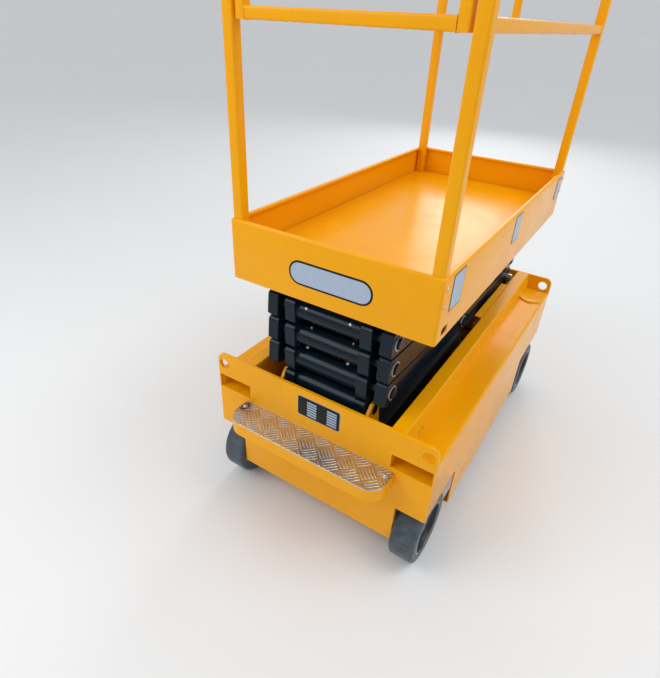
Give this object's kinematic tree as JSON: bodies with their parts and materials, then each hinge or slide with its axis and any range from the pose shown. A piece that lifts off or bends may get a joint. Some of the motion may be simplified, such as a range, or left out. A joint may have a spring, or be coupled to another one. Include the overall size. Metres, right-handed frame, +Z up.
{
  "type": "scissor lift",
  "caption": "Compact self-propelled scissor lift, folded: boxed chassis with entry step, stacked scissor arms, tray platform with guardrails and gate.",
  "frame": {"origin": "on the ground, at the middle of the outline seen from above", "axes": "+X from the entry step to the steered end, +Y to the left, +Z up"},
  "size_m": [1.33, 0.74, 1.972],
  "materials": {
    "orange_yellow_paint": "semi-gloss powder coat",
    "black_gloss_paint": "gloss",
    "dark_grey_metal": "satin",
    "dark_hub_metal": "satin",
    "zinc_steel": "zinc plated",
    "chromed_rod": "ground and chromed",
    "checker_aluminium": "rolled tread plate",
    "grey_tyre": "solid, non-marking",
    "dark_plastic": "moulded"
  },
  "bodies": {
    "chassis": {"rear_end_panel": "orange_yellow_paint", "front_end_panel": "orange_yellow_paint", "side_beam_left": "orange_yellow_paint", "side_beam_right": "orange_yellow_paint", "fork_tubes": "orange_yellow_paint", "chassis_pan": "orange_yellow_paint", "scissor_pivot_lugs": "orange_yellow_paint", "roller_rails": "orange_yellow_paint", "step_bracket": "orange_yellow_paint", "step_plate": "checker_aluminium", "power_block": "dark_grey_metal", "rear_axles": "dark_grey_metal"},
    "knuckle_left": {"knuckle_left": "dark_grey_metal"},
    "knuckle_right": {"knuckle_right": "dark_grey_metal"},
    "tie_rod": {"tie_rod": "dark_grey_metal"},
    "cylinder_barrel": {"lift_cylinder_barrel": "black_gloss_paint"},
    "cylinder_rod": {"lift_cylinder_rod": "chromed_rod"},
    "platform": {"platform_tray": "orange_yellow_paint", "platform_underframe": "orange_yellow_paint", "guardrail_left": "orange_yellow_paint", "guardrail_right": "orange_yellow_paint", "guardrail_front": "orange_yellow_paint", "control_box": "dark_plastic"},
    "gate": {"gate": "orange_yellow_paint"},
    "inner_0": {"inner_frame_0": "black_gloss_paint", "scissor_pins_0": "black_gloss_paint"},
    "outer_0": {"outer_arms_0": "black_gloss_paint", "chassis_rollers": "zinc_steel"},
    "inner_1": {"inner_frame_1": "black_gloss_paint", "scissor_pins_1": "black_gloss_paint"},
    "outer_1": {"outer_arms_1": "black_gloss_paint"},
    "inner_2": {"inner_frame_2": "black_gloss_paint", "scissor_pins_2": "black_gloss_paint"},
    "outer_2": {"outer_arms_2": "black_gloss_paint"},
    "inner_3": {"inner_frame_3": "black_gloss_paint", "scissor_pins_3": "black_gloss_paint"},
    "outer_3": {"outer_arms_3": "black_gloss_paint"},
    "wheel_rear_left": {"tyre_rear_left": "grey_tyre", "hub_rear_left": "dark_hub_metal"},
    "wheel_rear_right": {"tyre_rear_right": "grey_tyre", "hub_rear_right": "dark_hub_metal"},
    "wheel_front_left": {"tyre_front_left": "grey_tyre", "hub_front_left": "dark_hub_metal"},
    "wheel_front_right": {"tyre_front_right": "grey_tyre", "hub_front_right": "dark_hub_metal"}
  },
  "joints": [
    {"name": "lift", "type": "hinge", "parent": "chassis", "child": "inner_0", "pos_m": [-0.5, 0, 0.497], "axis": [0, -1, 0], "range_deg": [0, 45.9]},
    {"name": "cross_0", "type": "hinge", "parent": "inner_0", "child": "outer_0", "pos_m": [0.0501, 0, 0.53625], "axis": [0, -1, 0], "range_deg": [-92, 0]},
    {"name": "stage_1", "type": "hinge", "parent": "outer_0", "child": "inner_1", "pos_m": [-0.5, 0, 0.5755], "axis": [0, -1, 0], "range_deg": [0, 92]},
    {"name": "cross_1", "type": "hinge", "parent": "inner_1", "child": "outer_1", "pos_m": [0.0501, 0, 0.61475], "axis": [0, -1, 0], "range_deg": [-92, 0]},
    {"name": "stage_2", "type": "hinge", "parent": "outer_1", "child": "inner_2", "pos_m": [-0.5, 0, 0.654], "axis": [0, -1, 0], "range_deg": [0, 92]},
    {"name": "cross_2", "type": "hinge", "parent": "inner_2", "child": "outer_2", "pos_m": [0.0501, 0, 0.69325], "axis": [0, -1, 0], "range_deg": [-92, 0]},
    {"name": "stage_3", "type": "hinge", "parent": "outer_2", "child": "inner_3", "pos_m": [-0.5, 0, 0.7325], "axis": [0, -1, 0], "range_deg": [0, 92]},
    {"name": "cross_3", "type": "hinge", "parent": "inner_3", "child": "outer_3", "pos_m": [0.0501, 0, 0.77175], "axis": [0, -1, 0], "range_deg": [-92, 0]},
    {"name": "platform_level", "type": "hinge", "parent": "outer_3", "child": "platform", "pos_m": [-0.5, 0, 0.811], "axis": [0, -1, 0], "range_deg": [0, 46.1]},
    {"name": "cylinder_swing", "type": "hinge", "parent": "inner_0", "child": "cylinder_barrel", "pos_m": [-0.36919, 0, 0.51836], "axis": [0, -1, 0], "range_deg": [0, 16.18]},
    {"name": "cylinder_extend", "type": "slide", "parent": "cylinder_barrel", "child": "cylinder_rod", "axis": [0.9927, 0, 0.121], "range_m": [0, 0.7264]},
    {"name": "steer_left", "type": "hinge", "parent": "chassis", "child": "knuckle_left", "pos_m": [0.55, 0.32, 0.241], "axis": [0, 0, 1], "range_deg": [-50, 50]},
    {"name": "steer_right", "type": "hinge", "parent": "chassis", "child": "knuckle_right", "pos_m": [0.55, -0.32, 0.241], "axis": [0, 0, 1], "range_deg": [-50.2, 50.2]},
    {"name": "tie_rod_swing", "type": "hinge", "parent": "knuckle_left", "child": "tie_rod", "pos_m": [0.505, 0.32, 0.251], "axis": [0, 0, 1], "range_deg": [-50.2, 50.2]},
    {"name": "roll_rear_left", "type": "hinge", "parent": "chassis", "child": "wheel_rear_left", "pos_m": [-0.473, 0.32, 0.115], "axis": [0, 1, 0], "continuous": true},
    {"name": "roll_rear_right", "type": "hinge", "parent": "chassis", "child": "wheel_rear_right", "pos_m": [-0.473, -0.32, 0.115], "axis": [0, 1, 0], "continuous": true},
    {"name": "roll_front_left", "type": "hinge", "parent": "knuckle_left", "child": "wheel_front_left", "pos_m": [0.55, 0.328, 0.115], "axis": [0, 1, 0], "continuous": true},
    {"name": "roll_front_right", "type": "hinge", "parent": "knuckle_right", "child": "wheel_front_right", "pos_m": [0.55, -0.328, 0.115], "axis": [0, 1, 0], "continuous": true},
    {"name": "gate_swing", "type": "hinge", "parent": "platform", "child": "gate", "pos_m": [-0.505, 0.26, 1.682], "axis": [0, 0, 1], "range_deg": [0, 90]}
  ],
  "couplings": [
    {"joint": "cross_0", "follows": "lift", "ratio": -2},
    {"joint": "stage_1", "follows": "lift", "ratio": 2},
    {"joint": "cross_1", "follows": "lift", "ratio": -2},
    {"joint": "stage_2", "follows": "lift", "ratio": 2},
    {"joint": "cross_2", "follows": "lift", "ratio": -2},
    {"joint": "stage_3", "follows": "lift", "ratio": 2},
    {"joint": "cross_3", "follows": "lift", "ratio": -2},
    {"joint": "platform_level", "follows": "lift", "ratio": 1},
    {"joint": "cylinder_swing", "follows": "lift", "ratio": 0.34813},
    {"joint": "cylinder_extend", "follows": "lift", "m_per_rad": 0.9043},
    {"joint": "steer_right", "follows": "steer_left", "ratio": 1},
    {"joint": "tie_rod_swing", "follows": "steer_left", "ratio": -1}
  ]
}
